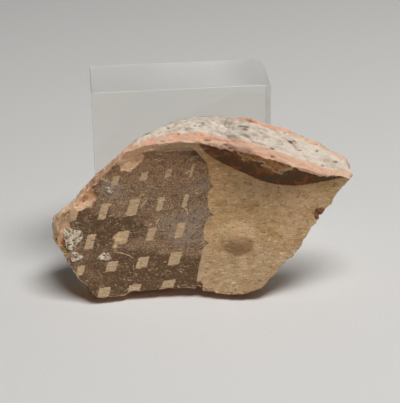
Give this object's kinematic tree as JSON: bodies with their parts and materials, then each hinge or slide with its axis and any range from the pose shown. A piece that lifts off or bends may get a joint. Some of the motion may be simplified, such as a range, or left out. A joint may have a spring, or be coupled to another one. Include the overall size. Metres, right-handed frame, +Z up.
{
  "type": "painted pottery sherd on display block",
  "caption": "Broken piece of a painted clay vessel wall standing against a clear acrylic display block.",
  "frame": {"origin": "centre of the display block's underside", "axes": "+Z up, +X across the block's wide face, -Y towards the viewer of the painted face"},
  "size_m": [0.0871, 0.0546, 0.0555],
  "materials": {
    "clear_acrylic": "polished",
    "grey_core": "rough fracture",
    "pink_clay": "rough fracture",
    "back_clay": "matt",
    "buff_slip": "matt",
    "brown_paint": "matt",
    "dark_paint": "matt",
    "lime": "chalky"
  },
  "bodies": {
    "block": {"display_block": "clear_acrylic"},
    "sherd": {"sherd_core": "grey_core", "painted_side_margin": "pink_clay", "back_margin": "back_clay", "slip_coat": "buff_slip", "painted_panel": "brown_paint", "painted_band": "dark_paint", "lime_crust": "lime"}
  },
  "joints": [
    {"name": "sherd_lift", "type": "slide", "parent": "block", "child": "sherd", "axis": [0, 0, 1], "range_m": [0, 0.06]}
  ]
}
